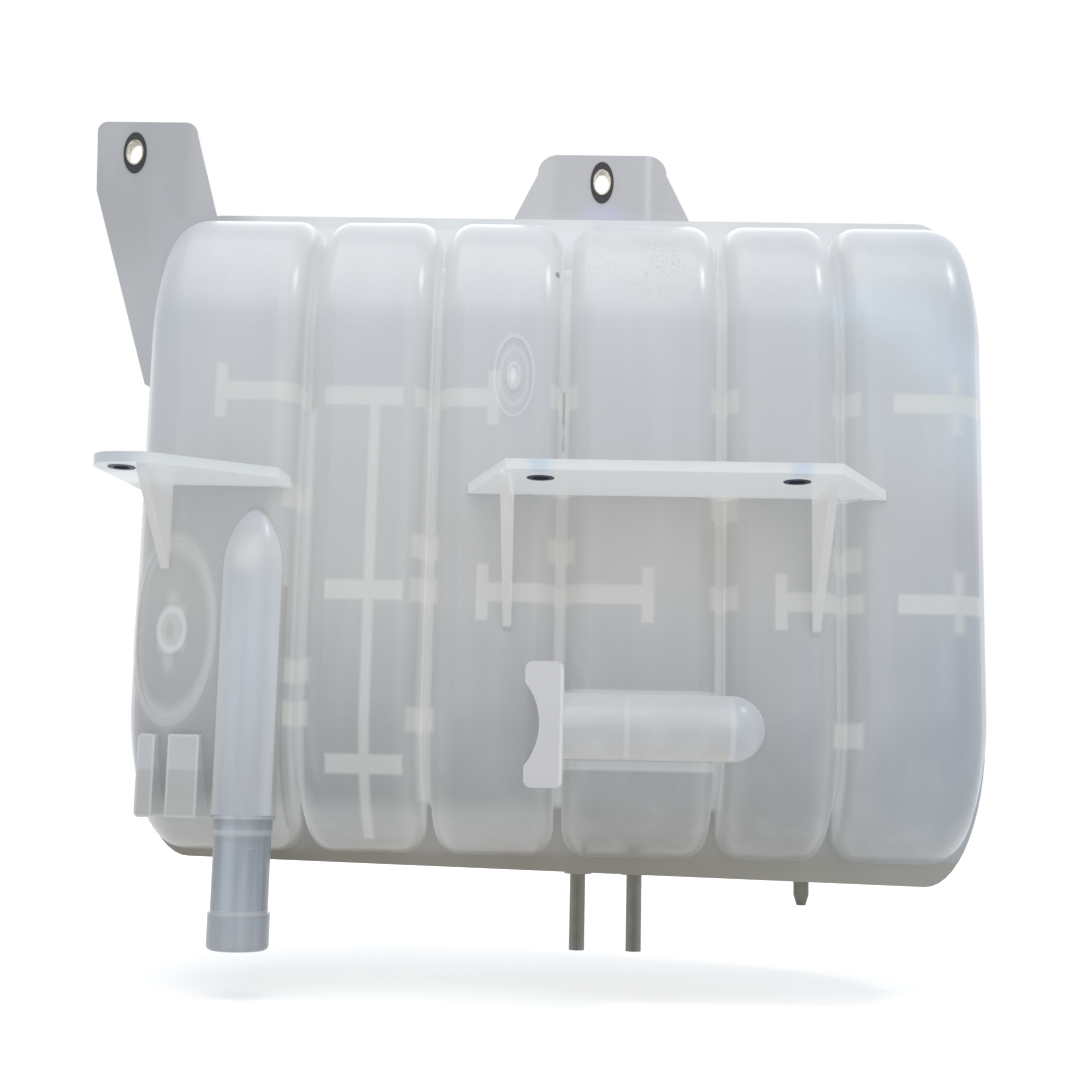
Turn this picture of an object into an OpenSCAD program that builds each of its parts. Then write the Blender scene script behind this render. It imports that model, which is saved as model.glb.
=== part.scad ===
// Coolant expansion tank: two lobed half shells of natural plastic, welded at a flat rim.
// The origin is the centre of the bolt eye in the centre lug, on the weld plane.
// +X runs along the tank, +Z is up, and the side that carries the brackets faces -Y.

/* [Body] */
// Width of the tank across its end lobes
body_w = 482; // [460:2:520]
// Height of the tank without its rim
body_h = 370; // [350:2:400]
// Depth of each half, from the weld plane to the lobe faces
half_d = 82; // [74:1:92]
// Wall thickness
wall = 3; // [2.5:0.1:3.5]
// Distance from the tank's middle to the bolt eye, along X
eye_to_middle = 21; // [10:1:30]
// Height of the bolt eye above the top of the tank
eye_above_top = 32; // [28:1:40]
// Width of each rounded end, from the tank's side to the flat lobe face
end_w = 32; // [28:1:40]
// Radius where an end turns into the lobe face
end_r = 20; // [14:1:22]

/* [Lobes] */
// Width of the left end lobe
lobe_1_w = 100; // [90:1:110]
// Width of the second lobe
lobe_2_w = 71; // [65:1:80]
// Width of the third lobe
lobe_3_w = 71.5; // [65:0.5:80]
// Width of the fourth lobe
lobe_4_w = 86.5; // [80:0.5:95]
// Width of the fifth lobe
lobe_5_w = 65; // [60:1:75]
// Width of the grooves between the lobes
groove_w = 5; // [3:0.5:7]
// Depth of the grooves
groove_d = 26; // [18:1:34]
// Radius of the lobe shoulders beside the grooves
shoulder_r = 14; // [8:1:20]

/* [Rim] */
// Thickness of each half's weld rim
rim_t = 4; // [3:0.5:6]
// Width of the rim at the top
rim_top = 7; // [5:0.5:10]
// Width of the rim at the bottom, under the fourth groove
rim_bottom = 10; // [8:0.5:14]
// How much lower the rim reaches at the right end than at the left
rim_slant = 9.5; // [0:0.5:12]
// Width of the rim at the ends
rim_side = 4; // [3:0.5:8]

/* [Lugs] */
// Thickness of the lug plates
lug_t = 5; // [4:0.5:7]
// Half width of the oval eyes across the grommet
eye_a = 7; // [6:0.5:8]
// Half height of the oval eyes across the grommet
eye_b = 13; // [12:0.5:15]
// Thickness of the grommet's flanges
grommet_flange = 1.2; // [0.8:0.1:2]
// Wall of the steel sleeve in each eye
sleeve_wall = 0.8; // [0.6:0.1:1.2]
// Distance from the centre eye to the left eye, along X
left_eye_x = 286; // [276:1:292]
// Height of the left eye above the centre eye
left_eye_z = 15.7; // [10:0.1:20]

/* [Shelves] */
// Thickness of the bracket shelves
shelf_t = 5.4; // [4:0.1:7]
// Reach of the shelves in front of the lobe faces
shelf_reach = 73; // [60:1:80]
// Distance from the top of the tank down to the centre shelf's underside
shelf_drop = 175.7; // [170:0.1:190]
// Distance between the two bushes in the centre shelf
bush_pitch = 130; // [120:1:140]
// Distance of the bush centres behind the shelves' front edges
bush_setback = 22; // [18:1:30]
// Outer radius of the shelf bushes
bush_r = 7; // [6:0.1:8]
// Bore radius of the shelf bushes
bush_bore_r = 4.25; // [3.25:0.25:5.25]
// Thickness of the gussets under the shelves
gusset_t = 4.5; // [3:0.5:6]
// Height of the gussets under the centre shelf
gusset_h = 74; // [60:1:80]
// Height of the gusset under the left shelf
ear_gusset_h = 48; // [40:1:55]

/* [Outlet] */
// Outer radius of the outlet duct on the left lobe
duct_r = 17; // [15:0.5:19]
// Bore radius of the duct
duct_bore_r = 14; // [12:0.5:14.5]
// Height of the duct's pointed top
duct_tip_h = 39; // [30:1:45]
// Outer radius of the hose spigot
spigot_r = 15; // [14.5:0.1:15.5]
// Bore radius of the hose spigot
spigot_bore_r = 12; // [10:0.5:12.5]
// Radius of the bead at the spigot's end
bead_r = 16.2; // [15.8:0.1:17]
// Length of the spigot below the duct
spigot_l = 69.5; // [60:0.5:80]
// Length of the bead
bead_l = 19.5; // [14:0.5:24]

/* [Sensor sleeve] */
// Outer radius of the blind sleeve for the level sensor
sleeve_r = 17; // [15.5:0.5:19]
// Bore radius of the sleeve
sleeve_bore_r = 14; // [11:0.5:14]
// Length of the sleeve from its collar to the start of its domed end
sleeve_l = 87; // [80:1:92]
// Distance of the sleeve's axis in front of the lobe faces
sleeve_reach = 16; // [15:0.5:20]
// Height of the collar at the sleeve's mouth
collar_h = 64; // [56:1:70]

/* [Small tubes] */
// Outer radius of the hose nipples
nipple_r = 4.4; // [4:0.1:5]
// Bore radius of the hose nipples
nipple_bore_r = 2.6; // [2:0.1:3]
// Length of the hose nipples below the rim
nipple_l = 43; // [36:1:50]
// Length of the closed drain stub below the rim
stub_l = 15; // [10:1:20]

/* [Filler] */
// Outer radius of the filler neck
neck_r = 29; // [27:0.5:31]
// Bore radius of the filler neck
neck_bore_r = 24; // [22:0.5:25]
// Length of the neck in front of the rear lobe faces
neck_l = 22; // [20:1:28]
// Outer radius of the cap
cap_r = 36; // [35:0.5:40]
// Height of the cap's skirt
cap_skirt = 16; // [12:0.5:18]
// Number of grip ribs round the cap
cap_ribs = 24; // [16:2:32]

/* [Clearances] */
// Gap between a fixed insert and its seat
seat_gap = 0.05; // [0.02:0.01:0.1]
// Gap between the sliding seal and the neck
seal_gap = 0.08; // [0.02:0.01:0.1]
// Gap between the cap's skirt and the neck
cap_gap = 2; // [1:0.1:2.5]

/* [Hidden] */
$fn = 96;
EPS = 0.01;

// Outline of the body
left_x = -eye_to_middle - body_w / 2;
right_x = left_x + body_w;
top_z = -eye_above_top;
bottom_z = top_z - body_h;
top_axis_z = top_z - half_d;
bottom_axis_z = bottom_z + half_d;
rim_bottom_z = bottom_z - rim_bottom;

// Each end is a wide arc, square to the weld plane, that meets a small one at a slight angle
end_meet = 6;
end_side_r = (end_w * end_w + half_d * half_d - 2 * half_d * end_r)
    / (2 * (end_w - end_r * cos(end_meet)));
end_turn = atan2(half_d - end_r, end_side_r - end_w);

// Grooves and lobes, from left to right
groove_1 = left_x + lobe_1_w;
groove_2 = groove_1 + lobe_2_w;
groove_3 = groove_2 + lobe_3_w;
groove_4 = groove_3 + lobe_4_w;
groove_5 = groove_4 + lobe_5_w;
grooves = [groove_1, groove_2, groove_3, groove_4, groove_5];
lobe_edges = concat([left_x - groove_w / 2], grooves, [right_x + groove_w / 2]);
lobe_count = len(lobe_edges) - 1;

// Shelves
shelf_z = top_z - shelf_drop;
ear_z = shelf_z + 2;
bush_mid_x = groove_4 - 32;
bush_y = -half_d - shelf_reach + bush_setback;
ear_bush = [left_x + 17.5, bush_y];

// Outlet duct and sensor sleeve
duct_x = groove_1 - 22.5;
duct_y = -half_d + 4;
duct_end_z = bottom_z + 21;
duct_shoulder_z = shelf_z - 43;
sleeve_x = groove_3 + 3;
sleeve_y = -half_d - sleeve_reach;
sleeve_z = bottom_axis_z - 11.5;
collar_w = 19.5;
collar_waist = 7.5;

// Filler neck
neck_x = (groove_4 + groove_5) / 2;
neck_z = top_axis_z + 6;
neck_end_y = half_d + neck_l;

// Inner web lines, measured from the top of the tank
row_a = 122;
row_b = 230;
row_c = 321;
web_t = 10.5;
web_cap_t = 6.5;
web_cap_h = 30;
post_w = 14.5;
post_h = 13;

// An ellipse, a wide and b high from its centre
module oval(a, b, steps = 60) {
    polygon([for (i = [0:steps - 1]) [a * cos(360 * i / steps), b * sin(360 * i / steps)]]);
}

// A rectangle from [x0, y0] to [x1, y1] with round corners
module round_box(x0, y0, x1, y1, r) {
    translate([x0 + r, y0]) square([x1 - x0 - 2 * r, y1 - y0]);
    translate([x0, y0 + r]) square([x1 - x0, y1 - y0 - 2 * r]);
    for (x = [x0 + r, x1 - r], y = [y0 + r, y1 - r])
        translate([x, y]) circle(r);
}

// Extrudes an outline drawn in X and Z from y0 to y1
module along_y(y0, y1) {
    translate([0, y1, 0]) rotate([90, 0, 0]) linear_extrude(y1 - y0) children();
}

// What a round corner of radius r leaves of a square one, at the upper left
module corner_cut(r) {
    difference() {
        translate([-1, -r]) square([r + 1, r + 1]);
        translate([r, -r]) circle(r);
    }
}

// What the two arcs of an end leave of a square corner, with the tank's side at X = 0
module end_cut(grow) {
    side_r = end_side_r + grow;
    meet_y = side_r * sin(end_turn);
    difference() {
        translate([-grow - 1, 0]) square([end_w + grow + 1, half_d + grow + 1]);
        translate([end_side_r, 0]) circle(side_r, $fn = 360);
    }
    difference() {
        translate([-grow - 1, meet_y]) square([end_w + grow + 1, half_d + grow + 1 - meet_y]);
        translate([end_w, half_d - end_r]) circle(end_r + grow);
    }
}

// Plan of one lobe: flat face, round shoulders, open at the weld plane
module lobe_plan(x0, x1, left_end, right_end, grow) {
    difference() {
        translate([x0 - grow, 0]) square([x1 - x0 + 2 * grow, half_d + grow]);
        if (left_end) translate([x0, 0]) end_cut(grow);
        else translate([x0 - grow, half_d + grow]) corner_cut(shoulder_r + grow);
        if (right_end) translate([x1, 0]) mirror([1, 0]) end_cut(grow);
        else translate([x1 + grow, half_d + grow]) mirror([1, 0]) corner_cut(shoulder_r + grow);
    }
}

// Plan of a half shell: six lobes on a common spine. grow moves the whole outline outwards
module half_plan(grow) {
    spine_left = left_x + end_w;
    translate([spine_left, 0])
        square([right_x - end_w - spine_left, half_d - groove_d + grow]);
    for (i = [0:lobe_count - 1])
        lobe_plan(
            lobe_edges[i] + groove_w / 2, lobe_edges[i + 1] - groove_w / 2,
            i == 0, i == lobe_count - 1, grow
        );
}

// A quarter turn of the plan about the weld line closes an end of the lobes
module lobe_ends(grow) {
    rotate([90, 0, 90]) rotate_extrude(angle = 90) mirror([1, -1]) half_plan(grow);
}

// Solid form of the rear half: the plan swept straight, then turned over both ends
module rear_form(grow) {
    translate([0, 0, bottom_axis_z])
        linear_extrude(top_axis_z - bottom_axis_z) half_plan(grow);
    translate([0, 0, top_axis_z]) lobe_ends(grow);
    translate([0, 0, bottom_axis_z]) mirror([0, 0, 1]) lobe_ends(grow);
}

module front_form(grow) {
    mirror([0, 1, 0]) rear_form(grow);
}

// Height of the rim's lower edge, which falls to the right
function rim_edge_z(x) = rim_bottom_z - rim_slant * (x - groove_4) / body_w;

// A quarter of an ellipse about a centre, from one angle on
function quarter_oval(centre, a, b, from) =
    [for (i = [0:14]) let (t = from + 90 * i / 14) centre + [a * cos(t), b * sin(t)]];

// Outline of the weld rim, which follows the ends of the lobes
module rim_outline() {
    a = end_w + rim_side;
    top_b = half_d + rim_top;
    bottom_b = half_d + rim_bottom;
    x0 = left_x + end_w;
    x1 = right_x - end_w;
    polygon(concat(
        quarter_oval([x1, top_axis_z], a, top_b, 0),
        quarter_oval([x0, top_axis_z], a, top_b, 90),
        quarter_oval([x0, rim_edge_z(x0) + bottom_b], a, bottom_b, 180),
        quarter_oval([x1, rim_edge_z(x1) + bottom_b], a, bottom_b, 270)
    ));
}

// A tie web seen from the front: a bar with an upright at either end
module tie_web(x0, x1, drop, left_cap, right_cap) {
    z = top_z - drop;
    translate([x0, z - web_t / 2]) square([x1 - x0, web_t]);
    if (left_cap)
        translate([x0, z - web_cap_h / 2]) square([web_cap_t, web_cap_h]);
    if (right_cap)
        translate([x1 - web_cap_t, z - web_cap_h / 2]) square([web_cap_t, web_cap_h]);
}

// A tie post at a groove
module tie_post(x, drop) {
    translate([x - post_w / 2, top_z - drop - post_h / 2]) square([post_w, post_h]);
}

// Webs and posts that tie the two halves together, as the front shows them
module tie_outlines() {
    tie_web(left_x + 52, groove_1 + 3, row_a - 2, true, false);
    tie_web(groove_1 + 12, groove_2 - 16, row_a, false, false);
    tie_web(groove_2 - 10, groove_3 - 35, row_a, false, true);
    tie_web(groove_5 + 27, right_x - 22, row_a, false, false);
    tie_web(groove_1 + 16, groove_2 - 13, row_b - 1.5, false, false);
    tie_web(groove_3 - 45, groove_3 + 50, row_b - 1.5, true, true);
    tie_web(groove_5 - 37, groove_5 + 10, row_b + 1, true, false);
    tie_web(groove_5 + 28, right_x - 18, row_b + 1, false, false);
    tie_web(groove_1 + 19, groove_2 - 11, row_c, false, false);
    translate([groove_1 + 37, top_z - row_c - 45]) square([5.5, row_c + 45 - row_a]);
    tie_post(groove_1 - 2, 177);
    for (drop = [272, 295]) tie_post(groove_1 + 2, drop);
    for (drop = [204, 227.5, 297]) tie_post(groove_2 - 2, drop);
    for (drop = [120, 205]) tie_post(groove_3, drop);
    for (drop = [121, 181, 229]) tie_post(groove_4 + 1, drop);
    for (drop = [122, 207.5, 301]) tie_post(groove_5 + 2, drop);
}

// Plan of the centre shelf, from inside the wall to its front edge
module centre_shelf_plan() {
    back_l = groove_3 - 51.5;
    back_r = groove_5 + 23;
    polygon([
        [back_l, -half_d], [back_l + 24, -half_d - shelf_reach],
        [back_r - 35, -half_d - shelf_reach], [back_r, -half_d]
    ]);
    translate([back_l, -half_d]) square([back_r - back_l, 10]);
}

// Plan of the left shelf: a round ear past the end of the tank, falling back to the right
module left_shelf_plan() {
    ear_r = 14;
    front_y = -half_d - shelf_reach + 3;
    translate(ear_bush) circle(ear_r);
    polygon([
        [left_x + 12, -50], [ear_bush[0] - ear_r, ear_bush[1]],
        [ear_bush[0], ear_bush[1] - ear_r], [left_x + 33, front_y + 4],
        [groove_1 - 6, -half_d - 28], [groove_1 - 4, -half_d], [groove_1 - 6, -70]
    ]);
}

// A three-cornered rib under a shelf, from the wall out to the shelf's front
module gusset(x, z, h, y_wall, y_front) {
    translate([x - gusset_t / 2, 0, z])
        rotate([90, 0, 90])
            linear_extrude(gusset_t)
                polygon([
                    [y_wall + 8, 1], [y_front, 1], [y_front, -2],
                    [y_wall, -h], [y_wall + 8, -h]
                ]);
}

module shelves() {
    translate([0, 0, shelf_z]) linear_extrude(shelf_t) centre_shelf_plan();
    translate([0, 0, ear_z]) linear_extrude(shelf_t) left_shelf_plan();
    gusset(groove_3 - 28, shelf_z, gusset_h, -half_d, -half_d - shelf_reach + 4);
    gusset(groove_5 - 15.5, shelf_z, gusset_h, -half_d, -half_d - shelf_reach + 4);
    gusset(left_x + 30, ear_z, ear_gusset_h, -half_d + 0.5, -half_d - shelf_reach + 12);
}

// Seats of the three shelf bushes
module bush_seats(r) {
    for (s = [-1, 1])
        translate([bush_mid_x + s * bush_pitch / 2, bush_y, shelf_z - 1])
            cylinder(r = r, h = shelf_t + 2);
    translate([ear_bush[0], ear_bush[1], ear_z - 1]) cylinder(r = r, h = shelf_t + 2);
}

// An upright duct with a pointed, round-sided top, blunt at the very tip
module duct_form(r, tip_h) {
    blunt = 0.6;
    arc_r = (r * r + tip_h * tip_h) / (2 * r);
    straight_l = duct_shoulder_z - duct_end_z;
    translate([0, 0, duct_end_z])
        rotate_extrude() {
            square([r, straight_l]);
            translate([0, straight_l])
                intersection() {
                    translate([r - arc_r, 0]) circle(arc_r);
                    square([r + 1, tip_h - blunt]);
                }
        }
}

module duct_at() {
    translate([duct_x, duct_y, 0]) children();
}

// Round rod along +X with a domed end; lead is how far it starts before the sleeve's mouth
module sleeve_form(r, lead = 0) {
    straight_l = sleeve_l + collar_w - collar_waist + lead;
    translate([sleeve_x - collar_w + collar_waist - lead, sleeve_y, sleeve_z])
        rotate([0, 90, 0])
            rotate_extrude() {
                square([r, straight_l]);
                intersection() {
                    translate([0, straight_l]) circle(r);
                    translate([0, straight_l]) square(r + 1);
                }
            }
}

// Foot that carries the sleeve's sides down to the lobe
module sleeve_foot() {
    foot_h = 2 * sleeve_r - 1;
    translate([sleeve_x - 2, sleeve_y, sleeve_z - foot_h / 2])
        cube([sleeve_l - 8, -half_d - sleeve_y + 1, foot_h]);
}

// Collar at the sleeve's mouth, waisted on its open side
module sleeve_collar() {
    waist_r = 34;
    along_y(sleeve_y - sleeve_r - 1, -half_d + 1)
        difference() {
            round_box(
                sleeve_x - collar_w, sleeve_z - collar_h / 2,
                sleeve_x, sleeve_z + collar_h / 2, 4
            );
            translate([sleeve_x - collar_w - waist_r + collar_waist, sleeve_z])
                circle(waist_r);
        }
}

// Low pads and rings that follow the lobe faces
module low_outlines() {
    dish = [left_x + 35, bottom_z + 118];
    gate = [groove_3 - 27.5, top_z - 110];
    translate(dish) difference() {
        oval(24.5, 52, 48);
        oval(21, 48.5, 48);
    }
    translate(dish) oval(8.5, 13.5, 32);
    translate(gate) difference() {
        oval(11.3, 23, 32);
        oval(9.8, 21.5, 32);
    }
    translate(gate) difference() {
        oval(4.2, 8.5, 24);
        oval(2.6, 6, 24);
    }
    translate([groove_3 + 6, sleeve_z - 23.5]) square([lobe_4_w - 12, 47]);
}

// Two upright guides below the dish, for a clip on the hose
module clip_guides() {
    z0 = bottom_z + 19;
    guide_h = 43.5;
    along_y(-half_d - 3, -30) {
        round_box(left_x + 21, z0, left_x + 30, z0 + guide_h, 2.5);
        round_box(left_x + 37, z0, left_x + 53.5, z0 + guide_h, 1);
    }
}

module front_shell() {
    color([0.86, 0.88, 0.89])
    difference() {
        union() {
            difference() {
                union() {
                    front_form(0);
                    along_y(-rim_t, 0) rim_outline();
                    intersection() {
                        front_form(1.2);
                        along_y(-half_d - 5, 0) low_outlines();
                    }
                    shelves();
                    clip_guides();
                }
                front_form(-wall);
            }
            intersection() {
                front_form(-wall / 2);
                along_y(-half_d, 0) tie_outlines();
            }
            sleeve_form(sleeve_r);
            sleeve_foot();
            sleeve_collar();
            duct_at() duct_form(duct_r, duct_tip_h);
        }
        duct_at() translate([0, 0, -EPS]) duct_form(duct_bore_r, duct_tip_h - 8);
        duct_at() translate([-9, 2, duct_shoulder_z - 8]) cube([18, 25, 16]);
        bush_seats(bush_r + seat_gap);
        sleeve_form(sleeve_bore_r, collar_waist);
    }
}

// Outline of the left lug plate, above and beside the end lobe
module left_lug_outline() {
    hull_r = 6;
    x = -left_eye_x;
    z = left_eye_z;
    polygon([
        [x - 24, z + 14], [x - 18, z + 20], [x + 30, z + 20], [x + 37.5, z + 14],
        [x + 53, z - 42], [left_x + 30, z - 90], [left_x + 2, z - 150],
        [x + 14, z - 145], [x - 22.5, z - 24]
    ]);
    translate([x - 24 + hull_r, z + 20 - hull_r]) circle(hull_r);
    translate([x + 30, z + 20 - 8]) circle(8);
}

// Outline of the centre lug plate
module centre_lug_outline() {
    polygon([
        [-56, -30], [-38.5, 6], [-28, 17.5], [28, 17.5], [38.5, 6], [56, -30]
    ]);
    for (s = [-1, 1]) translate([s * 27, 5.5]) circle(12);
}

module lug_eye_seat() {
    oval(eye_a - 1.2, eye_b - 1.6);
}

module filler_neck() {
    along_y(0, half_d + 3) translate([neck_x, neck_z]) circle(cap_r);
    along_y(0, neck_end_y) translate([neck_x, neck_z]) circle(neck_r);
}

// Seats under the rim for the nipples and the drain stub
nipple_y = 14;
vent_x = groove_3 + 12;
return_x = groove_3 + 44.5;
drain_x = groove_5 - 11;
boss_r = 8;
tube_seat_r = nipple_r + 0.8;
stub_seat = 8;

module tube_bosses() {
    for (x = [vent_x, return_x, drain_x])
        translate([x, nipple_y, rim_bottom_z]) cylinder(r = boss_r, h = 14);
}

module rear_shell() {
    color([0.84, 0.86, 0.87])
    difference() {
        union() {
            difference() {
                union() {
                    rear_form(0);
                    along_y(0, rim_t) rim_outline();
                    along_y(0, lug_t) {
                        left_lug_outline();
                        centre_lug_outline();
                    }
                    filler_neck();
                    tube_bosses();
                }
                rear_form(-wall);
            }
            intersection() {
                rear_form(-wall / 2);
                along_y(0, half_d) tie_outlines();
            }
        }
        along_y(-1, neck_end_y + 1) translate([neck_x, neck_z]) circle(neck_bore_r);
        along_y(-1, lug_t + 1) {
            lug_eye_seat();
            translate([-left_eye_x, left_eye_z]) lug_eye_seat();
        }
        for (x = [vent_x, return_x])
            translate([x, nipple_y, rim_bottom_z - 1]) cylinder(r = tube_seat_r + seat_gap, h = 40);
        translate([drain_x, nipple_y, rim_bottom_z - 1])
            cylinder(r = tube_seat_r + seat_gap, h = stub_seat + 1);
    }
}

// Rubber grommet with a flange on either face of the lug
module lug_grommet() {
    color([0.07, 0.07, 0.08])
    difference() {
        union() {
            along_y(-grommet_flange, 0) oval(eye_a, eye_b);
            along_y(0, lug_t) oval(eye_a - 1.2 - seat_gap, eye_b - 1.6 - seat_gap);
            along_y(lug_t, lug_t + grommet_flange) oval(eye_a, eye_b);
        }
        along_y(-5, lug_t + 5) oval(4.5 + sleeve_wall + seat_gap, 7.3 + sleeve_wall + seat_gap);
    }
}

// Oval steel sleeve that takes the bolt
module lug_sleeve() {
    color([0.75, 0.74, 0.7])
    along_y(-grommet_flange - 0.3, lug_t + grommet_flange + 0.3)
        difference() {
            oval(4.5 + sleeve_wall, 7.3 + sleeve_wall);
            oval(4.5, 7.3);
        }
}

module at_left_eye() {
    translate([-left_eye_x, 0, left_eye_z]) children();
}

module left_lug_grommet() { at_left_eye() lug_grommet(); }
module left_lug_sleeve() { at_left_eye() lug_sleeve(); }
module centre_lug_grommet() { lug_grommet(); }
module centre_lug_sleeve() { lug_sleeve(); }

// Bush in a shelf, flush above and just proud below
module shelf_bush(x, y, z) {
    color([0.06, 0.06, 0.1])
    translate([x, y, z - 0.3])
        difference() {
            cylinder(r = bush_r, h = shelf_t + 0.3);
            translate([0, 0, -1]) cylinder(r = bush_bore_r, h = shelf_t + 3);
        }
}

module left_shelf_bush() { shelf_bush(ear_bush[0], ear_bush[1], ear_z); }
module centre_shelf_bush_left() {
    shelf_bush(bush_mid_x - bush_pitch / 2, bush_y, shelf_z);
}
module centre_shelf_bush_right() {
    shelf_bush(bush_mid_x + bush_pitch / 2, bush_y, shelf_z);
}

// Hose spigot: plugged into the duct, a shoulder under it, and a beaded end
module outlet_spigot() {
    plug_l = 12;
    end_z = duct_end_z - spigot_l;
    round_r = 3;
    color([0.74, 0.77, 0.8])
    duct_at()
    difference() {
        union() {
            translate([0, 0, duct_end_z])
                cylinder(r = duct_bore_r - seat_gap, h = plug_l);
            translate([0, 0, duct_end_z - 2]) cylinder(r = duct_r, h = 2);
            translate([0, 0, duct_end_z - 9]) cylinder(r = spigot_r + 0.5, h = 9);
            translate([0, 0, end_z + bead_l - 1]) cylinder(r = spigot_r, h = spigot_l - bead_l);
            translate([0, 0, end_z])
                rotate_extrude()
                    difference() {
                        union() {
                            translate([0, round_r]) square([bead_r, bead_l - round_r]);
                            square([bead_r - round_r, bead_l]);
                            translate([bead_r - round_r, round_r]) circle(round_r);
                        }
                    }
        }
        translate([0, 0, end_z - 1]) cylinder(r = spigot_bore_r, h = spigot_l + plug_l + 2);
    }
}

// Hose nipple with a thicker root that is plugged into its boss
module hose_nipple(x) {
    root_l = 20;
    color([0.6, 0.59, 0.56])
    translate([x, nipple_y, rim_bottom_z - nipple_l])
        difference() {
            union() {
                cylinder(r = nipple_r, h = nipple_l + 1);
                translate([0, 0, nipple_l]) cylinder(r = tube_seat_r, h = root_l);
            }
            translate([0, 0, -1]) cylinder(r = nipple_bore_r, h = nipple_l + root_l + 2);
        }
}

module vent_nipple() { hose_nipple(vent_x); }
module return_nipple() { hose_nipple(return_x); }

// Closed stub with a tapered tip
module drain_stub() {
    tip_l = 6;
    color([0.55, 0.53, 0.5])
    translate([drain_x, nipple_y, rim_bottom_z - stub_l]) {
        cylinder(r1 = 2.6, r2 = nipple_r, h = tip_l);
        translate([0, 0, tip_l]) cylinder(r = nipple_r, h = stub_l - tip_l + 1);
        translate([0, 0, stub_l]) cylinder(r = tube_seat_r, h = stub_seat - 0.3);
    }
}

module at_neck() {
    translate([neck_x, 0, neck_z]) children();
}

// Ring or disc about the neck's axis, from y0 to y1
module neck_disc(r, y0, y1) {
    at_neck() along_y(y0, y1) circle(r);
}

insert_flange_t = 2;
insert_l = 12;
seal_t = 3;
stud_r = 6;
stud_h = 3;

// Plug under the cap, with a groove for the seal and a stud that the cap turns on
module cap_insert() {
    groove_y = neck_end_y - 7;
    color([0.16, 0.16, 0.17])
    difference() {
        union() {
            neck_disc(neck_r - 1.5, neck_end_y, neck_end_y + insert_flange_t);
            neck_disc(neck_bore_r - 0.6, neck_end_y - insert_l, neck_end_y + EPS);
            neck_disc(stud_r, neck_end_y, neck_end_y + insert_flange_t + stud_h);
        }
        difference() {
            neck_disc(neck_bore_r + 1, groove_y, groove_y + seal_t);
            neck_disc(neck_bore_r - 2.6, groove_y - 1, groove_y + seal_t + 1);
        }
        for (a = [0:60:300])
            at_neck() rotate([0, a, 0]) translate([13, 0, 0])
                along_y(neck_end_y - insert_l - 1, neck_end_y - insert_l + 3) circle(3);
    }
}

module cap_seal() {
    groove_y = neck_end_y - 7;
    color([0.05, 0.05, 0.05])
    at_neck() translate([0, groove_y + seal_t / 2, 0]) rotate([90, 0, 0])
        rotate_extrude()
            intersection() {
                translate([neck_bore_r - seal_gap - seal_t / 2 + 0.06, 0])
                    circle(seal_t / 2 - 0.06);
                translate([neck_bore_r - 2.55, -5]) square([10, 10]);
            }
}

// Screw cap with a ribbed skirt
module cap_shell() {
    seat_y = neck_end_y + insert_flange_t;
    top_t = 5;
    color([0.09, 0.09, 0.1])
    difference() {
        union() {
            neck_disc(cap_r - 1, seat_y - cap_skirt, seat_y + top_t);
            neck_disc(cap_r - 8, seat_y, seat_y + top_t + 2);
            for (i = [0:cap_ribs - 1])
                at_neck() rotate([0, 360 * i / cap_ribs, 0])
                    translate([cap_r - 1, 0, 0])
                        along_y(seat_y - cap_skirt + 1, seat_y + top_t - 1) circle(1.6);
        }
        neck_disc(neck_r + cap_gap, seat_y - cap_skirt - 1, seat_y);
        neck_disc(stud_r + seal_gap, seat_y - 1, seat_y + stud_h + 0.3);
    }
}

front_shell();
rear_shell();
left_lug_grommet();
left_lug_sleeve();
centre_lug_grommet();
centre_lug_sleeve();
left_shelf_bush();
centre_shelf_bush_left();
centre_shelf_bush_right();
outlet_spigot();
vent_nipple();
return_nipple();
drain_stub();
cap_shell();
cap_insert();
cap_seal();
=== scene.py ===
"""Looks of the coolant expansion tank: milky shells, rubber grommets, steel sleeves, dark cap."""

import math

import bpy
from mathutils import Matrix, Vector


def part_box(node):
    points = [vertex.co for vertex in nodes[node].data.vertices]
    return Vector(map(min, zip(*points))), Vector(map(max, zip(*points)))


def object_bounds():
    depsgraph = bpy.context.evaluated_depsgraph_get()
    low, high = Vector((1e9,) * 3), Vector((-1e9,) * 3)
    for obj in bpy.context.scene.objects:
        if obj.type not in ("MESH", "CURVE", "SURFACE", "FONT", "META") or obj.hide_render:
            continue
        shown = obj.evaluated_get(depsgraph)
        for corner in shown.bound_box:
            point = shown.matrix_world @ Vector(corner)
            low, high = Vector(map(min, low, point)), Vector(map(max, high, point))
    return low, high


MM = 0.001

# Sizes of the shells in millimetres, as the part's source has them. The origin is the centre eye.
BODY_W = 482
BODY_H = 370
LOBE_WIDTHS = (100, 71, 71.5, 86.5, 65)
HALF_D = 82
RIM_SIDE = 4
RIM_TOP = 7
EYE_ABOVE_TOP = 32
NIPPLES_X = (-7.5, 25)
DRAIN_X = 105
LUG_FOLD_X = 28

# Share of the shells' colour that they give off as painted light, in place of light passing through
# them, and how sharply their surface reflects
SHELL_GLOW = 0.52
SHELL_ROUGHNESS = 0.3

# Floor: half its width and its gap below the tank in metres
FLOOR_HALF = 6.0
FLOOR_GAP = 0.02
FLOOR_COLOUR = (0.8, 0.8, 0.8, 1)

# What the floor gives off near the tank and far from it, and these two distances in millimetres
FLOOR_GLOW_NEAR = 0.4
FLOOR_GLOW_FAR = 0.62
FLOOR_NEAR = 500
FLOOR_FAR = 2200

# World: the colour that lights the tank and the colour that is seen
WORLD_LIGHT = (0.5, 0.52, 0.55, 1)
WORLD_SEEN = (1, 1, 1, 1)

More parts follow.
